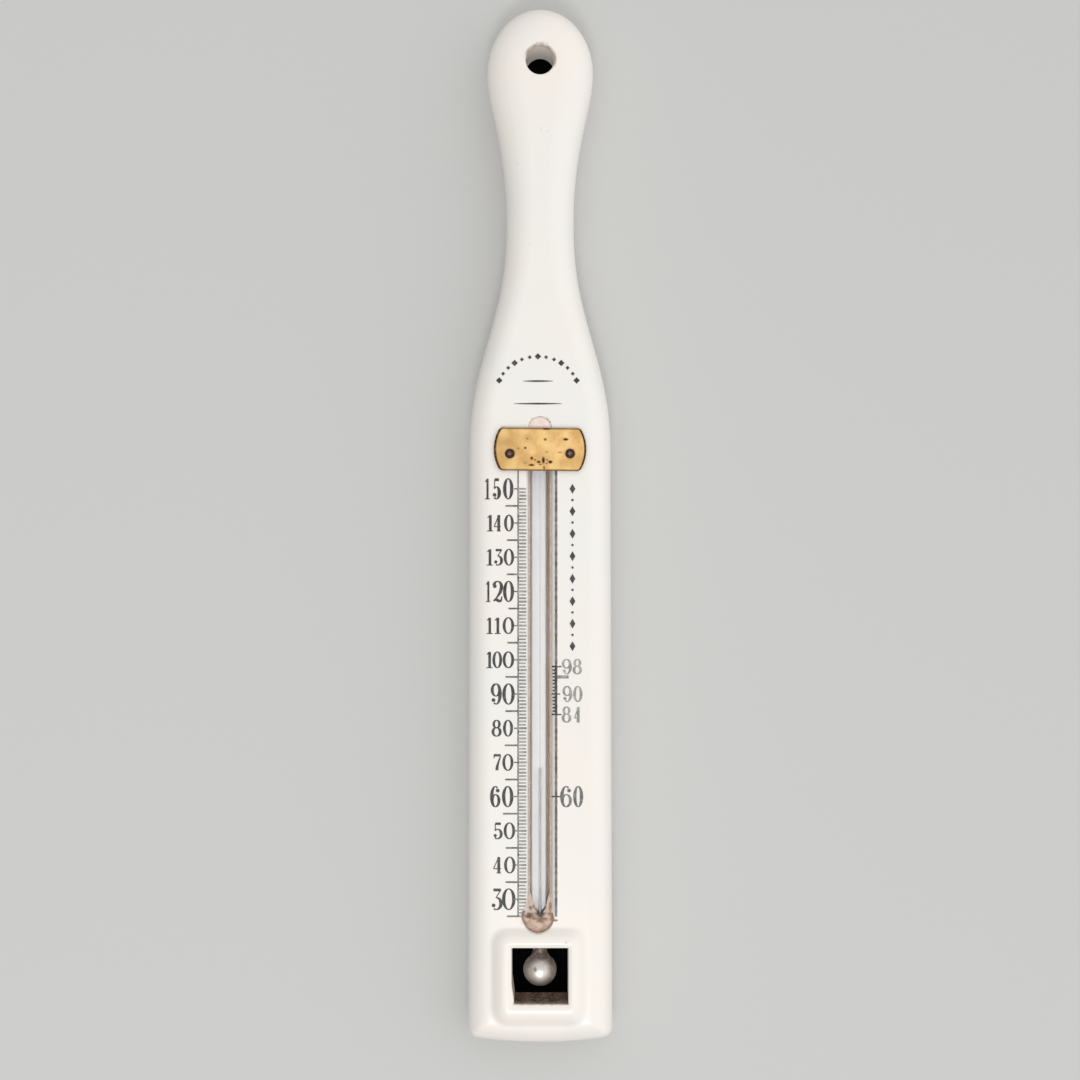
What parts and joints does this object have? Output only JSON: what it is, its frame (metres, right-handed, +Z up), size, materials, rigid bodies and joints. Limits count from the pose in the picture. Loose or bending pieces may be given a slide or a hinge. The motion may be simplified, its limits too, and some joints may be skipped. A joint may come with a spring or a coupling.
{
  "type": "dairy thermometer",
  "caption": "Glazed pottery paddle thermometer: mercury tube bedded in a groove under a brass clip, bulb in a rimmed window at the foot, and a hanging hole in the handle.",
  "frame": {"origin": "on the axis of the hanging hole, in the plane of the flat back", "axes": "+Z up along the paddle from the bulb to the handle, +X to the right as the scale is read, -Y out of the front, +Y out of the flat back into the wall"},
  "size_m": [0.0428, 0.0185, 0.305],
  "materials": {
    "glaze": "gloss",
    "tube_glass": "gloss",
    "opal": "satin",
    "mercury": "polished",
    "bedding_plaster": "matte",
    "pink_plaster": "matte",
    "clip_brass": "worn satin",
    "pin_iron": "rusty",
    "plug_wood": "raw",
    "black_print": "satin"
  },
  "bodies": {
    "thermometer": {"pottery_body": "glaze", "glass_tube": "tube_glass", "opal_strip": "opal", "mercury_reservoir": "mercury", "stem_bedding": "bedding_plaster", "top_plaster": "pink_plaster", "foot_plaster": "pink_plaster", "brass_clip": "clip_brass", "clip_pin_left": "pin_iron", "clip_pin_right": "pin_iron", "pin_plug_left": "plug_wood", "pin_plug_right": "plug_wood", "left_graduations": "black_print", "right_graduations": "black_print"},
    "column": {"mercury_column": "mercury"}
  },
  "joints": [
    {"name": "mercury_rise", "type": "slide", "parent": "thermometer", "child": "column", "axis": [0, 0, 1], "range_m": [-0.038, 0.082], "deforming": ["mercury_column"]}
  ]
}
